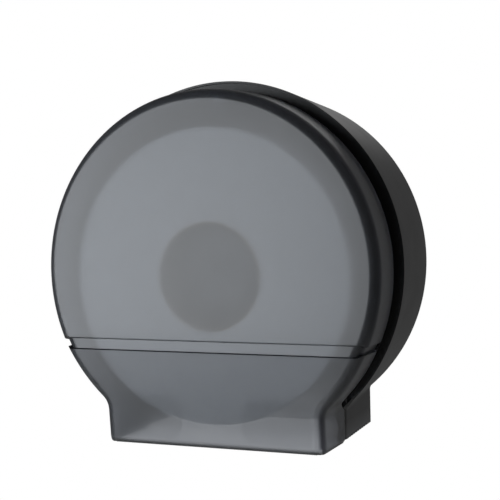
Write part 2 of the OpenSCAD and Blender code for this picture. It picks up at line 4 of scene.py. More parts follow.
import bmesh
import bpy
from bpy.props import FloatProperty, FloatVectorProperty, IntProperty, PointerProperty
from mathutils import Matrix, Vector
from mathutils.kdtree import KDTree


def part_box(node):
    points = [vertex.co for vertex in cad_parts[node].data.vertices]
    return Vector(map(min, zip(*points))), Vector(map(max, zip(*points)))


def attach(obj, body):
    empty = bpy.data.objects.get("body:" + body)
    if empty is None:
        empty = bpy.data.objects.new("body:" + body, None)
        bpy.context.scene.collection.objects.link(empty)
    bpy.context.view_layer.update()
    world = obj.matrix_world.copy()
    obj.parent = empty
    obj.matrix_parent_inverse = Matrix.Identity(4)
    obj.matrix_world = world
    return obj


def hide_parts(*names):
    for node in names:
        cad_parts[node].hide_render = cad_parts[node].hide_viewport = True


bl_info = {
    "name": "Jumbo Roll Dispenser",
    "version": (1, 0, 0),
    "blender": (4, 5, 0),
    "location": "View3D > Sidebar > Dispenser",
    "description": "Dresses a wall-mounted jumbo toilet roll dispenser with a smoked cover",
    "category": "Object",
}

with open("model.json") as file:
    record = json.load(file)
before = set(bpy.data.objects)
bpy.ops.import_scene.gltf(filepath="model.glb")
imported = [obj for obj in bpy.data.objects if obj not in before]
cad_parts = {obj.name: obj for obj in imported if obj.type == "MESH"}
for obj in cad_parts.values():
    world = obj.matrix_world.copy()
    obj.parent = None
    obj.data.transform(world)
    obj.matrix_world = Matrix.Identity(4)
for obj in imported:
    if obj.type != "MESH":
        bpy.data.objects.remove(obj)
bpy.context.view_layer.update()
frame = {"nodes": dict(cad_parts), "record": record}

MM = 0.001
WELD = 0.002 * MM           # corners closer than this are one corner
SAME_PLACE = 0.001 * MM     # play in finding a corner by its place
CURVE_EDGE = 4 * MM         # about how long the edges of rounded curves may be
SIDEWAYS = 0.5              # a face whose direction has more than this of X looks sideways
MIDDLE_Y = -0.1             # where the studio is centred, a little in front of the wall
BEHIND = 0.8                # how squarely air looks at the wall where it is at its brightest

# Two waves across a roll's windings, which never fall into step: share and radians per ply
PLY_WAVES = ((0.3, 2.4), (0.2, 0.7))


# ---- shared helpers ----------------------------------------------------------------------

def linear(hex_colour):
    """Turns an sRGB hex colour such as '#2b2c2e' into linear RGBA."""
    channels = [int(hex_colour[i:i + 2], 16) / 255 for i in (1, 3, 5)]
    return [c / 12.92 if c <= 0.04045 else ((c + 0.055) / 1.055) ** 2.4 for c in channels] + [1.0]


def add_node(tree, kind, links=None, values=None, **settings):
    """Adds a node, sets its properties and input values, and links its inputs."""
    node = tree.nodes.new(kind)
    for name, setting in settings.items():
        setattr(node, name, setting)
    for socket, value in (values or {}).items():
        node.inputs[socket].default_value = value
    for socket, output in (links or {}).items():
        tree.links.new(output, node.inputs[socket])
    return node


def span(low, high, start=0.0, end=1.0):
    """The input values that map start to low and end to high."""
    return {"From Min": start, "From Max": end, "To Min": low, "To Max": high}


def per_metre(size):
    """Texture scale whose features are about as wide as size."""
    return 1.0 / size


def new_material(name):
    """A new material with an empty tree: returns both."""
    material = bpy.data.materials.new(name)
    material.use_nodes = True
    material.node_tree.nodes.clear()
    return material, material.node_tree


def new_piece(name, work, material):
    """An object in the scene, made from a bmesh, which is freed."""
    mesh = bpy.data.meshes.new(name)
    work.to_mesh(mesh)
    work.free()
    mesh.materials.clear()
    mesh.materials.append(material)
    piece = bpy.data.objects.new(name, mesh)
    bpy.context.collection.objects.link(piece)
    return piece


def dress(node_name, material):
    """Gives a CAD node its finish."""
    for slot in frame["nodes"][node_name].material_slots:
        slot.material = material


def body_of(node_name):
    """The body that carries a CAD node."""
    for body, nodes in frame["record"]["behaviour"]["bodies"].items():
        if node_name in nodes:
            return body
    raise RuntimeError(f"no body carries {node_name}")


def middle_of(node_name):
    """The middle of a CAD node's box."""
    low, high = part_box(node_name)
    return [(a + b) / 2 for a, b in zip(low, high)]


# ---- forms -------------------------------------------------------------------------------

def run_bend(edge, vert, most_turn):
    """How the run that an edge belongs to curves at one of its ends: a vector towards the
    centre of the curve, as long as one over its radius. None at a corner of the run."""
    reach = edge.other_vert(vert).co - vert.co
    best, bend = most_turn, None
    for other in vert.link_edges:
        onward = other.other_vert(vert).co - vert.co
        if other is edge or not 0.5 < onward.length / reach.length < 2.0:
            continue
        turn = math.pi - onward.angle(reach)
        if turn < best:
            best = turn
            bend = 2 * (onward.normalized() + reach.normalized()) / (onward.length + reach.length)
    return bend


def round_out(work, longest, most_turn=math.radians(14)):
    """Halves the long edges of curved runs and lays the new corners on the curve."""
    long_edges, places, lifts = [], [], []
    for edge in work.edges:
        length = edge.calc_length()
        if length <= longest:
            continue
        bends = [run_bend(edge, vert, most_turn) for vert in edge.verts]
        bends = [bend for bend in bends if bend is not None]
        if bends:
            long_edges.append(edge)
            places.append((edge.verts[0].co + edge.verts[1].co) / 2)
            # an arc rises by length squared over 8 radii above the middle of its chord
            lifts.append(-sum(bends, Vector()) / len(bends) * length ** 2 / 8)
    index = KDTree(len(places))
    for i, place in enumerate(places):
        index.insert(place, i)
    index.balance()
    cut = bmesh.ops.subdivide_edges(work, edges=long_edges, cuts=1, use_grid_fill=True)
    for vert in {item for item in cut["geom_inner"] if isinstance(item, bmesh.types.BMVert)}:
        _, i, away = index.find(vert.co)
        if away < SAME_PLACE:
            vert.co += lifts[i]


def keep_in_box(work, node_name):
    """Brings corners that rounding out has lifted past a CAD node's box back to its sides."""
    low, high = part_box(node_name)
    for vert in work.verts:
        for axis in range(3):
            vert.co[axis] = min(max(vert.co[axis], low[axis]), high[axis])


def soften(work, radius, chosen, sharp=math.radians(45)):
    """Rounds the sharp outer edges that chosen picks."""
    edges = [edge for edge in work.edges
             if edge.is_convex and edge.calc_face_angle(0) > sharp and chosen(edge)]
    bmesh.ops.bevel(work, geom=edges, offset=radius, segments=3, profile=0.5, affect="EDGES",
                    clamp_overlap=True)


def roll_lip(work, foot, height, turn_in, is_inner, steps=5, upright=0.7):
    """Rolls the outside of a wall inwards at its foot, as part of an ellipse. Faces whose
    direction rises or falls more than upright aren't part of the wall's outside."""
    for i in range(1, steps + 1):
        bmesh.ops.bisect_plane(work, geom=work.verts[:] + work.edges[:] + work.faces[:],
                               plane_co=(0, 0, foot + height * (i / steps) ** 2),
                               plane_no=(0, 0, 1), dist=SAME_PLACE)
    work.normal_update()
    moves = {}
    for vert in work.verts:
        rise = (foot + height - vert.co.z) / height
        outer = [face.normal for face in vert.link_faces
                 if not is_inner(face) and abs(face.normal.z) < upright]
        if rise > 0 and outer:
            out = sum(outer, Vector()) * Vector((1, 1, 0))
            moves[vert] = -out.normalized() * turn_in * (1 - math.sqrt(max(0, 1 - rise ** 2)))
    for vert, move in moves.items():
        vert.co += move


def smoothed_copy(node_name, name, material, crease=32.0, marked=None, shape=None):
    """A copy of a CAD node's mesh with its corners welded, its curves rounded out and shaded
    smooth. Shape may work on the mesh's edges before the rounding. Edges that turn more than
    crease degrees stay sharp. The faces that marked picks carry 1 in the mark attribute, for
    the material to read."""
    work = bmesh.new()
    work.from_mesh(frame["nodes"][node_name].data)
    bmesh.ops.remove_doubles(work, verts=work.verts, dist=WELD)
    bmesh.ops.dissolve_degenerate(work, edges=work.edges, dist=WELD)
    bmesh.ops.dissolve_limit(work, angle_limit=math.radians(0.1), verts=work.verts,
                             edges=work.edges)
    bmesh.ops.join_triangles(work, faces=work.faces, angle_face_threshold=math.radians(20),
                             angle_shape_threshold=math.radians(30))
    work.normal_update()
    if shape is not None:
        shape(work)
    for step in (2, 1):
        round_out(work, CURVE_EDGE * step)
    keep_in_box(work, node_name)
    work.normal_update()
    mark = work.faces.layers.float.new("mark")
    for face in work.faces:
        face.smooth = True
        face[mark] = float(marked is not None and marked(face))
    for edge in work.edges:
        edge.smooth = len(edge.link_faces) == 2 and edge.calc_face_angle(0) < math.radians(crease)
    piece = new_piece(name, work, material)
    piece.modifiers.new("even shading", "WEIGHTED_NORMAL").keep_sharp = True
    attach(piece, body_of(node_name))
    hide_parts(node_name)
    return piece


def lathed(name, section, centre, material, body, segments=160, crease=50.0):
    """A solid of revolution about a line that runs into the wall through centre. The section
    is a closed run of (radius, y) points."""
    work = bmesh.new()
    turns = [2 * math.pi * i / segments for i in range(segments)]
    rings = [[work.verts.new((centre[0] + radius * math.cos(turn), y,
                              centre[2] + radius * math.sin(turn))) for turn in turns]
             for radius, y in section]
    for ring, after in zip(rings, rings[1:] + rings[:1]):
        for i in range(segments):
            j = (i + 1) % segments
            work.faces.new((ring[i], ring[j], after[j], after[i])).smooth = True
    bmesh.ops.recalc_face_normals(work, faces=work.faces)
    for edge in work.edges:
        edge.smooth = edge.calc_face_angle(0) < math.radians(crease)
    piece = new_piece(name, work, material)
    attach(piece, body)
    return piece


def rounded(radius, y, corner, to_wall, steps=5):
    """Points of a section's rounded outer corner, from the face at y to the side at radius.
    to_wall is 1 where the corner's centre lies towards the wall, and -1 where it lies away."""
    centre = (radius - corner, y + to_wall * corner)
    turns = [math.pi / 2 * i / steps for i in range(steps + 1)]
    return [(centre[0] + corner * math.sin(turn), centre[1] - to_wall * corner * math.cos(turn))
            for turn in turns]


def wound_face(inner, outer, y, into, plies, relief):
    """Points across the end of a roll, from inner to outer: each ply ends a little deeper or
    shallower than the one before."""
    points = []
    for i in range(plies + 1):
        uneven = 0.5 + sum(share * math.sin(i * pace) for share, pace in PLY_WAVES)
        points.append((inner + (outer - inner) * i / plies, y + into * relief * uneven))
    return points


# ---- finishes ----------------------------------------------------------------------------

# How squarely the cover's wall faces the front, from 1 on its flat face to 0 on its sides;
# painted shade darkens its rounded edge and sides by this
CORNER_START, CORNER_DARKEST = 0.94, 0.62   # where its rounded edge starts to darken, and is dark
SIDE_START, SIDE_FLAT = 0.4, 0.1            # where it pales again towards the sides
STEP_SIDE, STEP_FRONT = 0.1, 0.3            # where the band's steps start to darken, and are dark

# strength and reach of the painted shade on the sides, the lower lip and the band's upward-facing
# step
SIDE_DARK = 0.45            # how dark the sides stay, as a share of the rounded edge's darkness
LIP_DARK = 0.95             # darkness at the very foot of the lower lip
RISE_START, RISE_FULL = 0.03, 0.3   # how far a step's direction points up where it darkens
STEP_FADE = 1.0 * MM        # height over which the darkening of the steps ends


def smoked_san_moulded(finish, name, tint_depth=1.0):
    """Smoke-tinted SAN, injection moulded: satin outside and frosted on its marked inside, so
    that it blurs what stands behind it. Its tint lies in the depth of the wall. Painted shade
    makes its rounded corners and sides, the band's upward-facing step and the lower lip almost
    black."""
    material, tree = new_material(name)
    coordinates = add_node(tree, "ShaderNodeTexCoord")
    place = coordinates.outputs["Object"]
    height = add_node(tree, "ShaderNodeSeparateXYZ", {"Vector": place}).outputs["Z"]
    facing = add_node(tree, "ShaderNodeSeparateXYZ", {"Vector": coordinates.outputs["Normal"]})
    inside = add_node(tree, "ShaderNodeAttribute", attribute_name="mark").outputs["Fac"]
    mottle = add_node(tree, "ShaderNodeTexNoise", {"Vector": place},
                      {"Scale": per_metre(18 * MM), "Detail": 2.0}).outputs["Fac"]
    # the satin of the tool is finer than 0.1 mm: its waves are drawn coarser, so that they show
    waves = add_node(tree, "ShaderNodeTexNoise", {"Vector": place},
                     {"Scale": per_metre(finish.grain), "Detail": 3.0}).outputs["Fac"]
    bump = add_node(tree, "ShaderNodeBump", {"Height": waves},
                    {"Strength": 0.5, "Distance": 0.004 * MM}).outputs["Normal"]

    # painted shade where the wall turns from the front to its sides, and lighter painted shade on
    # the sides themselves
    squarely = add_node(tree, "ShaderNodeMath", {0: facing.outputs["Y"]},
                        operation="ABSOLUTE").outputs["Value"]
    off_front = add_node(tree, "ShaderNodeMapRange", {"Value": squarely},
                         span(1.0, 0.0, CORNER_DARKEST, CORNER_START)).outputs["Result"]
    off_side = add_node(tree, "ShaderNodeMapRange", {"Value": squarely},
                        span(SIDE_DARK, 1.0, SIDE_FLAT, SIDE_START)).outputs["Result"]
    corner = add_node(tree, "ShaderNodeMath", {0: off_side, 1: off_front},
                      operation="MINIMUM").outputs["Value"]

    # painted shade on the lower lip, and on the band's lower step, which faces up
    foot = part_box("front_cover")[0][2]
    lip = add_node(tree, "ShaderNodeMapRange", {"Value": height},
                   span(LIP_DARK, 0.0, foot, foot + finish.lip_height)).outputs["Result"]
    step = add_node(tree, "ShaderNodeMapRange", {"Value": facing.outputs["Z"]},
                    span(0.0, 1.0, RISE_START, RISE_FULL)).outputs["Result"]
    for source, reach in (
            (squarely, span(0.0, 1.0, STEP_SIDE, STEP_FRONT)),
            (height, span(1.0, 0.0, finish.band_high, finish.band_high + STEP_FADE)),
            (height, span(0.0, 1.0, finish.band_low, finish.band_low + STEP_FADE))):
        share = add_node(tree, "ShaderNodeMapRange", {"Value": source}, reach)
        step = add_node(tree, "ShaderNodeMath", {0: step, 1: share.outputs["Result"]},
                        operation="MULTIPLY").outputs["Value"]
    painted_shade = add_node(tree, "ShaderNodeMath", {0: step, 1: lip},
                       operation="MAXIMUM").outputs["Value"]

    smoke = add_node(tree, "ShaderNodeMix", {0: mottle},
                     {6: finish.smoke_deep, 7: finish.smoke}, data_type="RGBA").outputs[2]
    # painted shade: the colour turns to the corner shade on the rounded edge and, less, on the
    # sides
    turned = add_node(tree, "ShaderNodeMix", {0: corner, 6: smoke},
                      {7: finish.corner_shade}, data_type="RGBA").outputs[2]
    # painted shade: the lower lip and the upward-facing step turn almost black
    colour = add_node(tree, "ShaderNodeMix", {0: painted_shade, 6: turned},
                      {7: finish.lip_and_step_shade}, data_type="RGBA").outputs[2]
    frost = add_node(tree, "ShaderNodeMapRange", {"Value": inside},
                     span(finish.roughness, finish.frost)).outputs["Result"]
    uneven = add_node(tree, "ShaderNodeMapRange", {"Value": mottle},
                      span(-finish.uneven, finish.uneven))
    roughness = add_node(tree, "ShaderNodeMath", {0: uneven.outputs["Result"], 1: frost},
                         operation="ADD").outputs["Value"]
    # where shade is painted, the faces also stop nearly all the light from behind
    cover = add_node(tree, "ShaderNodeMapRange", {"Value": corner},
                     span(finish.alpha, finish.corner_alpha)).outputs["Result"]
    alpha = add_node(tree, "ShaderNodeMath", {0: cover, 1: painted_shade},
                     operation="MAXIMUM").outputs["Value"]
    shader = add_node(
        tree, "ShaderNodeBsdfPrincipled",
        {"Base Color": colour, "Roughness": roughness, "Alpha": alpha, "Normal": bump},
        {"IOR": 1.57, "Transmission Weight": finish.clear},
    )
    depth = add_node(tree, "ShaderNodeVolumeAbsorption",
                     values={"Color": finish.tint, "Density": finish.density * tint_depth})
    add_node(tree, "ShaderNodeOutputMaterial",
             {"Surface": shader.outputs["BSDF"], "Volume": depth.outputs["Volume"]})
    return material


def black_abs_moulded(finish):
    """Black ABS, injection moulded in a spark-eroded tool: a fine even grain that spreads
    reflections into a soft sheen. Painted shade makes the notches' hollows near black and dull,
    and a painted reflection pales the chin's sides towards their notched edge."""
    material, tree = new_material("black_abs_moulded")
    place = add_node(tree, "ShaderNodeTexCoord").outputs["Object"]
    height = add_node(tree, "ShaderNodeSeparateXYZ", {"Vector": place}).outputs["Z"]
    cut = add_node(tree, "ShaderNodeAttribute", attribute_name="mark").outputs["Fac"]
    # a spark-eroded grain is 0.1 to 0.3 mm wide: it is drawn coarser, so that it shows
    grain = add_node(tree, "ShaderNodeTexVoronoi", {"Vector": place},
                     {"Scale": per_metre(finish.grain)}).outputs["Distance"]
    bump = add_node(tree, "ShaderNodeBump", {"Height": grain},
                    {"Strength": 0.6, "Distance": 0.01 * MM}).outputs["Normal"]
    cloud = add_node(tree, "ShaderNodeTexNoise", {"Vector": place},
                     {"Scale": per_metre(30 * MM), "Detail": 4.0}).outputs["Fac"]
    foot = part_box("rear_body")[0][2]
    # painted reflection: the chin's sides turn paler towards their notched foot, standing in for
    # light reflected from below
    painted_reflection = add_node(tree, "ShaderNodeMapRange", {"Value": height},
                     span(1.0, 0.0, foot, foot + finish.painted_reflection_height)).outputs["Result"]

    plain = add_node(tree, "ShaderNodeMix", {0: cloud},
                     {6: finish.black, 7: finish.worn_black}, data_type="RGBA").outputs[2]
    with_reflection = add_node(tree, "ShaderNodeMix", {0: painted_reflection, 6: plain},
                       {7: finish.painted_reflection}, data_type="RGBA").outputs[2]
    # painted shade: near black on the faces in and under the notches
    colour = add_node(tree, "ShaderNodeMix", {0: cut, 6: with_reflection},
                      {7: finish.hollow_shade}, data_type="RGBA").outputs[2]
    satin = add_node(tree, "ShaderNodeMapRange", {"Value": cloud},
                     span(finish.roughness - finish.uneven, finish.roughness + finish.uneven))
    dull = add_node(tree, "ShaderNodeMapRange", {"Value": cut},
                    span(0.0, finish.cut_roughness - finish.roughness))
    roughness = add_node(tree, "ShaderNodeMath",
                         {0: satin.outputs["Result"], 1: dull.outputs["Result"]},
                         operation="ADD").outputs["Value"]
    shader = add_node(tree, "ShaderNodeBsdfPrincipled",
                      {"Base Color": colour, "Roughness": roughness, "Normal": bump},
                      {"IOR": 1.53})
    add_node(tree, "ShaderNodeOutputMaterial", {"Surface": shader.outputs["BSDF"]})
    return material


def black_nylon_moulded():
    """Glass-filled black nylon, moulded: duller than the housing, with a faint fibre mottle."""
    material, tree = new_material("black_nylon_moulded")
    place = add_node(tree, "ShaderNodeTexCoord").outputs["Object"]
    # glass fibres are 0.3 mm long at most: they are drawn coarser, so that they show
    fibre = add_node(tree, "ShaderNodeTexNoise", {"Vector": place},
                     {"Scale": per_metre(1.2 * MM), "Detail": 4.0,
                      "Distortion": 1.5}).outputs["Fac"]
    colour = add_node(tree, "ShaderNodeMix", {0: fibre},
                      {6: linear("#1f2022"), 7: linear("#2f3033")}, data_type="RGBA").outputs[2]
    roughness = add_node(tree, "ShaderNodeMapRange", {"Value": fibre},
                         span(0.45, 0.6)).outputs["Result"]
    bump = add_node(tree, "ShaderNodeBump", {"Height": fibre},
                    {"Strength": 0.5, "Distance": 0.02 * MM}).outputs["Normal"]
    shader = add_node(tree, "ShaderNodeBsdfPrincipled",
                      {"Base Color": colour, "Roughness": roughness, "Normal": bump},
                      {"IOR": 1.53})
    add_node(tree, "ShaderNodeOutputMaterial", {"Surface": shader.outputs["BSDF"]})
    return material


def natural_nylon_punched():
    """Natural nylon sheet, punched: creamy white and waxy, as light enters it a little."""
    material, tree = new_material("natural_nylon_punched")
    place = add_node(tree, "ShaderNodeTexCoord").outputs["Object"]
    cloud = add_node(tree, "ShaderNodeTexNoise", {"Vector": place},
                     {"Scale": per_metre(4 * MM)}).outputs["Fac"]
    colour = add_node(tree, "ShaderNodeMix", {0: cloud},
                      {6: linear("#d9d5c6"), 7: linear("#ebe8dc")}, data_type="RGBA").outputs[2]
    roughness = add_node(tree, "ShaderNodeMapRange", {"Value": cloud},
                         span(0.35, 0.45)).outputs["Result"]
    shader = add_node(tree, "ShaderNodeBsdfPrincipled",
                      {"Base Color": colour, "Roughness": roughness},
                      {"IOR": 1.53, "Subsurface Weight": 0.15, "Subsurface Scale": 0.5 * MM})
    add_node(tree, "ShaderNodeOutputMaterial", {"Surface": shader.outputs["BSDF"]})
    return material


def metal(name, colour, dark, rough, brush, along=(1.0, 1.0, 1.0)):
    """A metal named for its finish: its colour and its tarnish, and fine tool marks as wide
    as brush, which along draws out where it is less than 1. Real marks are under 0.1 mm
    wide: they are drawn coarser, so that they show."""
    material, tree = new_material(name)
    place = add_node(tree, "ShaderNodeTexCoord").outputs["Object"]
    drawn = add_node(tree, "ShaderNodeMapping", {"Vector": place}, {"Scale": along})
    marks = add_node(tree, "ShaderNodeTexNoise", {"Vector": drawn.outputs["Vector"]},
                     {"Scale": per_metre(brush), "Detail": 3.0}).outputs["Fac"]
    tarnish = add_node(tree, "ShaderNodeTexNoise", {"Vector": place},
                       {"Scale": per_metre(6 * MM), "Detail": 3.0}).outputs["Fac"]
    tone = add_node(tree, "ShaderNodeMix", {0: tarnish},
                    {6: linear(dark), 7: linear(colour)}, data_type="RGBA").outputs[2]
    roughness = add_node(tree, "ShaderNodeMapRange", {"Value": marks},
                         span(rough, rough + 0.15)).outputs["Result"]
    bump = add_node(tree, "ShaderNodeBump", {"Height": marks},
                    {"Strength": 0.4, "Distance": 0.005 * MM}).outputs["Normal"]
    shader = add_node(tree, "ShaderNodeBsdfPrincipled",
                      {"Base Color": tone, "Roughness": roughness, "Normal": bump},
                      {"Metallic": 1.0})
    add_node(tree, "ShaderNodeOutputMaterial", {"Surface": shader.outputs["BSDF"]})
    return material


def tissue_creped_wound(finish):
    """Two-ply tissue, creped and wound: soft white and matt, with the edges of its plies as
    slightly wavering rings."""
    material, tree = new_material("tissue_creped_wound")
    place = add_node(tree, "ShaderNodeTexCoord").outputs["Object"]
    local = add_node(tree, "ShaderNodeVectorMath", {0: place}, {1: middle_of("paper_roll")},
                     operation="SUBTRACT").outputs["Vector"]
    flat = add_node(tree, "ShaderNodeVectorMath", {0: local}, {1: (1.0, 0.0, 1.0)},
                    operation="MULTIPLY").outputs["Vector"]
    radius = add_node(tree, "ShaderNodeVectorMath", {0: flat}, operation="LENGTH")
    waver = add_node(tree, "ShaderNodeTexNoise", {"Vector": place},
                     {"Scale": per_metre(25 * MM), "Detail": 2.0}).outputs["Fac"]
    shifted = add_node(tree, "ShaderNodeMath", {0: waver, 2: radius.outputs["Value"]},
                       {1: finish.waver}, operation="MULTIPLY_ADD").outputs["Value"]
    # plies lie 0.1 mm apart and their fibres are finer: both are drawn coarser, to show
    turns = add_node(tree, "ShaderNodeMath", {0: shifted}, {1: per_metre(finish.ply_pitch)},
                     operation="MULTIPLY").outputs["Value"]
    rings = add_node(tree, "ShaderNodeMath", {0: turns}, {1: 0.5},
                     operation="PINGPONG").outputs["Value"]
    fibre = add_node(tree, "ShaderNodeTexNoise", {"Vector": place},
                     {"Scale": per_metre(1.5 * MM), "Detail": 6.0}).outputs["Fac"]
    relief = add_node(tree, "ShaderNodeMath", {0: rings, 1: fibre},
                      operation="ADD").outputs["Value"]
    colour = add_node(tree, "ShaderNodeMix", {0: relief},
                      {6: finish.shade, 7: finish.white}, data_type="RGBA").outputs[2]
    roughness = add_node(tree, "ShaderNodeMapRange", {"Value": fibre},
                         span(0.85, 0.98)).outputs["Result"]
    bump = add_node(tree, "ShaderNodeBump", {"Height": relief},
                    {"Strength": 0.7, "Distance": 0.12 * MM}).outputs["Normal"]
    shader = add_node(tree, "ShaderNodeBsdfPrincipled",
                      {"Base Color": colour, "Roughness": roughness, "Normal": bump},
                      {"IOR": 1.4, "Sheen Weight": 0.1})
    add_node(tree, "ShaderNodeOutputMaterial", {"Surface": shader.outputs["BSDF"]})
    return material


def recycled_board_spiral_wound():
    """Grey-brown recycled board, spiral wound: matt and fibrous, with a slow slanting rise
    and fall."""
    material, tree = new_material("recycled_board_spiral_wound")
    place = add_node(tree, "ShaderNodeTexCoord").outputs["Object"]
    pulp = add_node(tree, "ShaderNodeTexNoise", {"Vector": place},
                    {"Scale": per_metre(0.8 * MM), "Detail": 5.0}).outputs["Fac"]
    slant = add_node(tree, "ShaderNodeTexWave", {"Vector": place},
                     {"Scale": per_metre(800 * MM), "Distortion": 0.4},
                     bands_direction="DIAGONAL").outputs["Fac"]
    relief = add_node(tree, "ShaderNodeMath", {0: pulp, 1: slant},
                      operation="ADD").outputs["Value"]
    colour = add_node(tree, "ShaderNodeMix", {0: pulp},
                      {6: linear("#8a7658"), 7: linear("#b39b76")}, data_type="RGBA").outputs[2]
    roughness = add_node(tree, "ShaderNodeMapRange", {"Value": pulp},
                         span(0.8, 0.95)).outputs["Result"]
    bump = add_node(tree, "ShaderNodeBump", {"Height": relief},
                    {"Strength": 0.6, "Distance": 0.05 * MM}).outputs["Normal"]
    shader = add_node(tree, "ShaderNodeBsdfPrincipled",
                      {"Base Color": colour, "Roughness": roughness, "Normal": bump})
    add_node(tree, "ShaderNodeOutputMaterial", {"Surface": shader.outputs["BSDF"]})
    return material


# ---- settings ----------------------------------------------------------------------------

class CoverSettings(bpy.types.PropertyGroup):
    smoke: FloatVectorProperty(
        name="Smoke", description="Haze colour of the plastic",
        default=linear("#c3c8d0"), size=4, min=0.0, max=1.0, subtype="COLOR")
    smoke_deep: FloatVectorProperty(
        name="Deep smoke", description="Haze colour where the haze is thin",
        default=linear("#b8bdc6"), size=4, min=0.0, max=1.0, subtype="COLOR")
    roughness: FloatProperty(
        name="Roughness", description="Spread of the outer face's reflections",
        default=0.3, min=0.0, max=1.0, subtype="FACTOR")
    frost: FloatProperty(
        name="Frost", description="Roughness of the frosted inner face",
        default=0.42, min=0.0, max=1.0, subtype="FACTOR")
    uneven: FloatProperty(
        name="Unevenness", description="How much the roughness varies, either way",
        default=0.03, min=0.0, max=0.2, subtype="FACTOR")
    clear: FloatProperty(
        name="Clear", description="Share of the light that enters the wall and isn't scattered",
        default=0.96, min=0.0, max=1.0, subtype="FACTOR")
    alpha: FloatProperty(
        name="Cover", description="Share of the light that each face bends or stops",
        default=0.72, min=0.0, max=1.0, subtype="FACTOR")
    # painted shade on the rounded edge, and paler on the sides
    corner_shade: FloatVectorProperty(
        name="Corner smoke", description="Colour where the wall turns a corner",
        default=linear("#595a65"), size=4, min=0.0, max=1.0, subtype="COLOR")
    corner_alpha: FloatProperty(
        name="Corner cover", description="The same share where the wall turns a corner",
        default=0.96, min=0.0, max=1.0, subtype="FACTOR")
    # deepens the strip's tint as painted shade on its teeth
    strip_shade_depth: FloatProperty(
        name="Strip depth", description="Strength of the tint in the tear strip, as a multiple",
        default=5.0, min=0.0)
    band_low: FloatProperty(
        name="Band low", description="A height just below the band's lower step",
        default=-66 * MM, unit="LENGTH")
    band_high: FloatProperty(
        name="Band high", description="A height just above the band's upper step",
        default=-51 * MM, unit="LENGTH")
    band_round: FloatProperty(
        name="Band round", description="Radius on the edges of the band's steps",
        default=0.7 * MM, min=0.0, unit="LENGTH")
    # painted shade on the lower lip and the band's upward-facing step
    lip_and_step_shade: FloatVectorProperty(
        name="Lip smoke", description="Colour of the thick lower lip and the band's lower step",
        default=linear("#15171c"), size=4, min=0.0, max=1.0, subtype="COLOR")
    lip_height: FloatProperty(
        name="Lip height", description="Height of the rolled lower lip",
        default=5 * MM, min=0.5 * MM, unit="LENGTH")
    lip_turn: FloatProperty(
        name="Lip turn", description="How far the lip rolls inwards",
        default=1.6 * MM, min=0.0, unit="LENGTH")
    tint: FloatVectorProperty(
        name="Tint", description="Colour that light takes on in the wall's depth",
        default=linear("#95999f"), size=4, min=0.0, max=1.0, subtype="COLOR")
    density: FloatProperty(
        name="Density", description="Strength of the tint, per metre of wall",
        default=260.0, min=0.0)
    grain: FloatProperty(
        name="Grain", description="Width of the surface's fine waves",
        default=1.4 * MM, min=0.2 * MM, max=5 * MM, unit="LENGTH")


class HousingSettings(bpy.types.PropertyGroup):
    black: FloatVectorProperty(
        name="Black", description="Colour of the housing",
        default=linear("#0e0f10"), size=4, min=0.0, max=1.0, subtype="COLOR")
    worn_black: FloatVectorProperty(
        name="Worn black", description="Colour where handling has dulled the surface",
        default=linear("#141516"), size=4, min=0.0, max=1.0, subtype="COLOR")
    # painted shade in the notches' hollows
    hollow_shade: FloatVectorProperty(
        name="Cut black", description="Colour in the hollows of the notches",
        default=linear("#050506"), size=4, min=0.0, max=1.0, subtype="COLOR")
    # painted reflection: a paler colour on the chin's sides, fading upwards from their notched
    # foot
    painted_reflection: FloatVectorProperty(
        name="Scuff", description="Colour of the chin's sides at their notched edge",
        default=linear("#626366"), size=4, min=0.0, max=1.0, subtype="COLOR")
    painted_reflection_height: FloatProperty(
        name="Scuff height", description="Height over which the scuffing fades",
        default=14 * MM, min=0.1 * MM, unit="LENGTH")
    notch_room: FloatProperty(
        name="Notch room", description="Height of the notched edge",
        default=2.6 * MM, min=0.0, unit="LENGTH")
    roughness: FloatProperty(
        name="Roughness", description="Spread of the housing's reflections",
        default=0.45, min=0.0, max=1.0, subtype="FACTOR")
    uneven: FloatProperty(
        name="Unevenness", description="How much the roughness varies, either way",
        default=0.05, min=0.0, max=0.2, subtype="FACTOR")
    cut_roughness: FloatProperty(
        name="Cut roughness", description="Roughness in the hollows of the notches",
        default=0.9, min=0.0, max=1.0, subtype="FACTOR")
    grain: FloatProperty(
        name="Grain", description="Width of the eroded grain",
        default=0.7 * MM, min=0.2 * MM, max=3 * MM, unit="LENGTH")


class PaperSettings(bpy.types.PropertyGroup):
    white: FloatVectorProperty(
        name="White", description="Colour of the tissue",
        default=linear("#f4f3ef"), size=4, min=0.0, max=1.0, subtype="COLOR")
    shade: FloatVectorProperty(
        name="Shade", description="Colour between plies",
        default=linear("#dcdad4"), size=4, min=0.0, max=1.0, subtype="COLOR")
    ply_pitch: FloatProperty(
        name="Ply pitch", description="Distance between the rings that show",
        default=1.6 * MM, min=0.2 * MM, max=5 * MM, unit="LENGTH")
    waver: FloatProperty(
        name="Waver", description="How far the rings stray from true circles",
        default=3 * MM, min=0.0, unit="LENGTH")
    plies: IntProperty(
        name="Plies", description="Uneven windings modelled on each end", default=48, min=8)
    relief: FloatProperty(
        name="Relief", description="How uneven the windings' edges lie",
        default=0.5 * MM, min=0.0, max=1 * MM, unit="LENGTH")
    edge_round: FloatProperty(
        name="Edge round", description="Rounding of the roll's edges",
        default=2 * MM, min=0.5 * MM, max=5 * MM, unit="LENGTH")
    edge_inset: FloatProperty(
        name="Edge inset", description="Depth at which the rounded edges meet the uneven ends",
        default=0.2 * MM, min=0.0, unit="LENGTH")
    bore_gap: FloatProperty(
        name="Bore gap", description="Gap between the core and the first ply",
        default=0.02 * MM, min=0.0, unit="LENGTH")


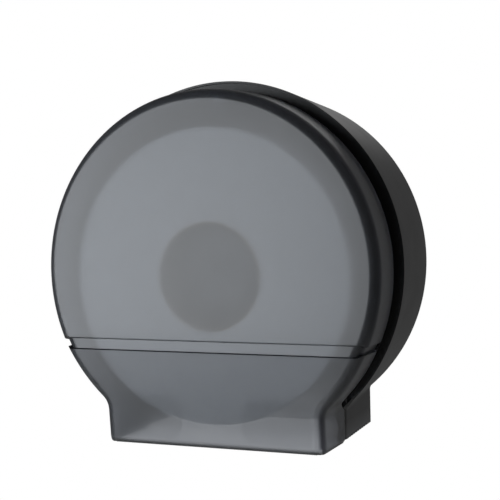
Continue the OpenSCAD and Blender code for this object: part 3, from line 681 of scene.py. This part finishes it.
class StudioSettings(bpy.types.PropertyGroup):
    camera_place: FloatVectorProperty(
        name="Camera place", description="Where the camera stands",
        default=(0.38963, -0.93699, 0.06065), subtype="TRANSLATION", unit="LENGTH")
    azimuth: FloatProperty(
        name="Azimuth", description="Turn of the camera to the right of the front",
        default=math.radians(23.51), subtype="ANGLE", unit="ROTATION")
    elevation: FloatProperty(
        name="Elevation", description="How far the camera looks down",
        default=math.radians(2.99), subtype="ANGLE", unit="ROTATION")
    roll: FloatProperty(
        name="Roll", description="Turn of the camera about its own axis",
        default=math.radians(-1.45), subtype="ANGLE", unit="ROTATION")
    lens: FloatProperty(
        name="Lens", description="Focal length on a 36 mm frame", default=86.49, unit="CAMERA")
    air: FloatProperty(
        name="Air", description="Strength of the light from the front", default=0.07, min=0.0)
    air_behind: FloatProperty(
        name="Air behind", description="Strength of the light from the pale wall behind",
        default=0.22, min=0.0)
    air_through: FloatProperty(
        name="Air through", description="Brightness of the background seen through the cover",
        default=0.58, min=0.0)
    key: FloatProperty(
        name="Key", description="Radiance of the large softbox at the front left",
        default=5.55, min=0.0)
    key_tone: FloatVectorProperty(
        name="Key tone", description="Colour of the large softbox",
        default=linear("#f7fbff"), size=4, min=0.0, max=1.0, subtype="COLOR")
    top: FloatProperty(
        name="Top", description="Radiance of the small softbox above and behind",
        default=0.75, min=0.0)
    floor_wash: FloatProperty(
        name="Floor wash", description="Radiance of the light that only the floor gets",
        default=0.1, min=0.0)
    floor_tone: FloatVectorProperty(
        name="Floor tone", description="Colour of the floor",
        default=linear("#ecebe8"), size=4, min=0.0, max=1.0, subtype="COLOR")
    floor_radius: FloatProperty(
        name="Floor radius", description="Radius of the round floor",
        default=1.3, min=0.5, unit="LENGTH")
    floor_drop: FloatProperty(
        name="Floor drop", description="Height of the wall fixings above the floor",
        default=0.7, unit="LENGTH")


class DispenserSettings(bpy.types.PropertyGroup):
    cover: PointerProperty(
        type=CoverSettings, name="Cover", description="The smoked front cover")
    housing: PointerProperty(
        type=HousingSettings, name="Housing", description="The black housing")
    paper: PointerProperty(
        type=PaperSettings, name="Paper", description="The roll of tissue")
    studio: PointerProperty(
        type=StudioSettings, name="Studio", description="The camera, the lights and the floor")


# ---- pieces ------------------------------------------------------------------------------

class DISPENSER_OT_cover(bpy.types.Operator):
    """Makes the smoked front cover"""
    bl_idname = "dispenser.cover"
    bl_label = "Front Cover"

    def execute(self, context):
        finish = context.scene.dispenser.cover
        heart = Vector(middle_of("paper_roll"))
        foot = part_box("front_cover")[0][2]

        def is_inner(face):
            return (heart - face.calc_center_median()).dot(face.normal) > 0

        def is_band_edge(edge):
            return (not any(is_inner(face) for face in edge.link_faces)
                    and all(finish.band_low < vert.co.z < finish.band_high
                            for vert in edge.verts))

        def shape(work):
            soften(work, finish.band_round, is_band_edge)
            roll_lip(work, foot, finish.lip_height, finish.lip_turn, is_inner)

        smoothed_copy("front_cover", "cover_moulding",
                      smoked_san_moulded(finish, "smoked_san_moulded"),
                      marked=is_inner, shape=shape)
        return {"FINISHED"}


class DISPENSER_OT_tear_edge(bpy.types.Operator):
    """Finishes the toothed tear strip of the cover's mouth"""
    bl_idname = "dispenser.tear_edge"
    bl_label = "Tear Edge"

    def execute(self, context):
        finish = context.scene.dispenser.cover
        # the cover's own plastic, in a thick strip, with its tint deepened several times as
        # painted shade on its teeth, which face down
        dress("tear_strip", smoked_san_moulded(finish, "smoked_san_strip_shaded", finish.strip_shade_depth))
        return {"FINISHED"}


class DISPENSER_OT_housing(bpy.types.Operator):
    """Makes the black housing"""
    bl_idname = "dispenser.housing"
    bl_label = "Housing"

    def execute(self, context):
        finish = context.scene.dispenser.housing
        notch_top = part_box("rear_body")[0][2] + finish.notch_room

        # faces at the notched foot that don't face sideways get painted shade
        def is_hollow(face):
            return (face.calc_center_median().z < notch_top
                    and abs(face.normal.x) < SIDEWAYS)

        smoothed_copy("rear_body", "housing_moulding", black_abs_moulded(finish),
                      marked=is_hollow)
        return {"FINISHED"}


class DISPENSER_OT_paper(bpy.types.Operator):
    """Makes the roll of tissue and its core"""
    bl_idname = "dispenser.paper"
    bl_label = "Paper Roll"

    def execute(self, context):
        paper = context.scene.dispenser.paper
        low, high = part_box("paper_roll")
        core_low, core_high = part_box("roll_core")
        radius = (high[0] - low[0]) / 2
        bore = (core_high[0] - core_low[0]) / 2 + paper.bore_gap
        flat = radius - paper.edge_round
        section = (wound_face(bore, flat, low[1], 1, paper.plies, paper.relief)
                   + rounded(radius, low[1] + paper.edge_inset, paper.edge_round, 1)
                   + rounded(radius, high[1] - paper.edge_inset, paper.edge_round, -1)[::-1]
                   + wound_face(bore, flat, high[1], -1, paper.plies, paper.relief)[::-1])
        roll = lathed("tissue_roll", section, middle_of("paper_roll"),
                      tissue_creped_wound(paper), body_of("paper_roll"))
        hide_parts("paper_roll")
        smoothed_copy("roll_core", "card_core", recycled_board_spiral_wound())
        return {"FINISHED"}


class DISPENSER_OT_spindle(bpy.types.Operator):
    """Finishes the spindle, its hub, cap and thrust washer"""
    bl_idname = "dispenser.spindle"
    bl_label = "Spindle and Hub"

    def execute(self, context):
        nylon = black_nylon_moulded()
        dress("spindle_post", nylon)
        smoothed_copy("core_hub", "hub_moulding", nylon)
        smoothed_copy("hub_cap", "cap_moulding", nylon)
        dress("thrust_washer", natural_nylon_punched())
        return {"FINISHED"}


class DISPENSER_OT_fasteners(bpy.types.Operator):
    """Finishes the screws, the hinge pins and the lock's nut and washer"""
    bl_idname = "dispenser.fasteners"
    bl_label = "Fasteners"

    def execute(self, context):
        # hot-blacked steel: a dark oxide that keeps the tool marks and a dull metal gleam
        dress("hub_cap_screw", metal("steel_black_oxide", colour="#2a2b2d", dark="#1b1c1d",
                                     rough=0.4, brush=0.5 * MM))
        # barrel-plated zinc: light grey, even and softly bright
        zinc = metal("steel_zinc_plated", colour="#b9bcc0", dark="#94989e",
                     rough=0.28, brush=0.5 * MM)
        for name in ("spindle_screws", "keeper_screws", "cam_screw",
                     "hinge_pin_left", "hinge_pin_right", "lock_washer", "lock_nut"):
            dress(name, zinc)
        return {"FINISHED"}


class DISPENSER_OT_lock(bpy.types.Operator):
    """Finishes the key lock, its cam and the cover's keeper"""
    bl_idname = "dispenser.lock"
    bl_label = "Key Lock"

    def execute(self, context):
        # die-cast zinc, polished and chromed: mirror-bright over a slightly wavy casting
        dress("lock_barrel", metal("zinc_die_cast_chromed", colour="#c9ccd0", dark="#a9adb3",
                                   rough=0.12, brush=0.8 * MM))
        # turned brass under thin nickel: bright with a warm cast
        dress("lock_plug", metal("brass_turned_nickelled", colour="#c2bda8", dark="#a19877",
                                 rough=0.2, brush=0.4 * MM))
        # bare rolled sheet: dull bright, its rolling marks drawn out upwards
        dress("lock_cam", metal("steel_sheet_bright", colour="#9b9ea3", dark="#7d8187",
                                rough=0.45, brush=0.6 * MM, along=(1.0, 1.0, 0.05)))
        # the same sheet, pressed and blacked: dark with a dull sheen
        dress("keeper_bracket", metal("steel_sheet_blacked", colour="#34363a", dark="#222326",
                                      rough=0.4, brush=0.6 * MM))
        return {"FINISHED"}


class DISPENSER_OT_studio(bpy.types.Operator):
    """Sets up the floor, the lights and the camera"""
    bl_idname = "dispenser.studio"
    bl_label = "Studio"

    def execute(self, context):
        studio = context.scene.dispenser.studio
        context.scene.view_settings.view_transform = "Standard"
        self.make_floor(studio)
        self.make_world(context, studio)
        self.make_lights(context, studio)
        self.make_camera(context, studio)
        return {"FINISHED"}

    def make_floor(self, studio):
        """A round floor of matt paint, centred a little in front of the wall."""
        disc = bmesh.new()
        bmesh.ops.create_circle(disc, cap_ends=True, segments=96, radius=studio.floor_radius)
        bmesh.ops.translate(disc, verts=disc.verts, vec=(0, MIDDLE_Y, -studio.floor_drop))
        material, tree = new_material("painted_floor")
        shader = add_node(tree, "ShaderNodeBsdfPrincipled",
                          values={"Base Color": studio.floor_tone, "Roughness": 0.9})
        add_node(tree, "ShaderNodeOutputMaterial", {"Surface": shader.outputs["BSDF"]})
        new_piece("studio_floor", disc, material)

    def make_world(self, context, studio):
        """White behind the object, also where it shows through the cover, and dimmer air that
        lights it from the sides: brighter towards the pale wall that it hangs on."""
        world = bpy.data.worlds.new("studio_air")
        world.use_nodes = True
        tree = world.node_tree
        tree.nodes.clear()
        white = linear("#ffffff")
        ray = add_node(tree, "ShaderNodeLightPath")
        way = add_node(tree, "ShaderNodeSeparateXYZ",
                       {"Vector": add_node(tree, "ShaderNodeTexCoord").outputs["Generated"]})
        around = add_node(tree, "ShaderNodeMapRange", {"Value": way.outputs["Y"]},
                          span(studio.air, studio.air_behind, end=BEHIND)).outputs["Result"]
        air = add_node(tree, "ShaderNodeBackground", {"Strength": around},
                       {"Color": white}).outputs["Background"]
        for name, strength in (("Is Transmission Ray", studio.air_through),
                               ("Is Camera Ray", 1.0)):
            layer = add_node(tree, "ShaderNodeBackground",
                             values={"Color": white, "Strength": strength})
            air = add_node(tree, "ShaderNodeMixShader",
                           {0: ray.outputs[name], 1: air,
                            2: layer.outputs["Background"]}).outputs["Shader"]
        add_node(tree, "ShaderNodeOutputWorld", {"Surface": air})
        context.scene.world = world

    def make_lights(self, context, studio):
        """A large softbox at the front left, a small one above and behind for the drum's top
        edge, and a wash that only the floor gets."""
        white = linear("#ffffff")
        self.softbox(context, "key_softbox", place=(-0.8, -1.3, -0.04),
                     aim=(0.0, MIDDLE_Y, -0.03), width=1.2, height=0.8,
                     radiance=studio.key, tone=studio.key_tone)
        self.softbox(context, "top_softbox", place=(0.0, 0.65, 0.42),
                     aim=(0.09, -0.05, 0.09), width=0.3, height=0.3,
                     radiance=studio.top, tone=white)
        self.softbox(context, "floor_wash", place=(0.0, MIDDLE_Y, -0.25),
                     aim=(0.0, MIDDLE_Y, -1.0), width=2.4, height=2.4,
                     radiance=studio.floor_wash, tone=white)

    def softbox(self, context, name, place, aim, width, height, radiance, tone):
        """An area light of the given radiance and colour, which points at aim."""
        light = bpy.data.lights.new(name, "AREA")
        light.shape = "RECTANGLE"
        light.size = width
        light.size_y = height
        light.energy = radiance * math.pi * width * height
        light.color = tone[:3]
        lamp = bpy.data.objects.new(name, light)
        context.collection.objects.link(lamp)
        lamp.location = place
        lamp.rotation_euler = (Vector(aim) - Vector(place)).to_track_quat("-Z", "Y").to_euler()
        lamp.visible_camera = False

    def make_camera(self, context, studio):
        """A camera at the chosen place, turned by the three angles."""
        data = bpy.data.cameras.new("camera")
        data.sensor_fit = "HORIZONTAL"
        data.sensor_width = 36
        data.lens = studio.lens
        data.clip_start = 0.01
        camera = bpy.data.objects.new("camera", data)
        context.collection.objects.link(camera)
        turn = (Matrix.Rotation(studio.azimuth, 4, "Z")
                @ Matrix.Rotation(math.pi / 2 - studio.elevation, 4, "X")
                @ Matrix.Rotation(studio.roll, 4, "Z"))
        camera.matrix_world = Matrix.Translation(studio.camera_place) @ turn
        context.scene.camera = camera


class DISPENSER_PT_panel(bpy.types.Panel):
    """Lists the settings, and the pieces in the order they are made"""
    bl_idname = "DISPENSER_PT_panel"
    bl_label = "Dispenser"
    bl_space_type = "VIEW_3D"
    bl_region_type = "UI"
    bl_category = "Dispenser"

    def draw(self, context):
        settings = context.scene.dispenser
        for part in ("cover", "housing", "paper", "studio"):
            box = self.layout.box()
            group = getattr(settings, part)
            for name in group.__annotations__:
                box.prop(group, name)
        for operator in PIECES:
            self.layout.operator(operator.bl_idname)


PIECES = (
    DISPENSER_OT_housing,
    DISPENSER_OT_cover,
    DISPENSER_OT_tear_edge,
    DISPENSER_OT_paper,
    DISPENSER_OT_spindle,
    DISPENSER_OT_fasteners,
    DISPENSER_OT_lock,
    DISPENSER_OT_studio,
)
CLASSES = (
    CoverSettings, HousingSettings, PaperSettings, StudioSettings, DispenserSettings,
    *PIECES, DISPENSER_PT_panel,
)


def register():
    for cls in CLASSES:
        bpy.utils.register_class(cls)
    bpy.types.Scene.dispenser = PointerProperty(
        type=DispenserSettings, name="Dispenser",
        description="Sizes and colours of the dispenser's pieces")


def unregister():
    del bpy.types.Scene.dispenser
    for cls in reversed(CLASSES):
        bpy.utils.unregister_class(cls)


def main():
    """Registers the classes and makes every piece."""
    register()
    for operator in PIECES:
        group, name = operator.bl_idname.split(".")
        getattr(getattr(bpy.ops, group), name)()


if __name__ == "__main__":
    main()
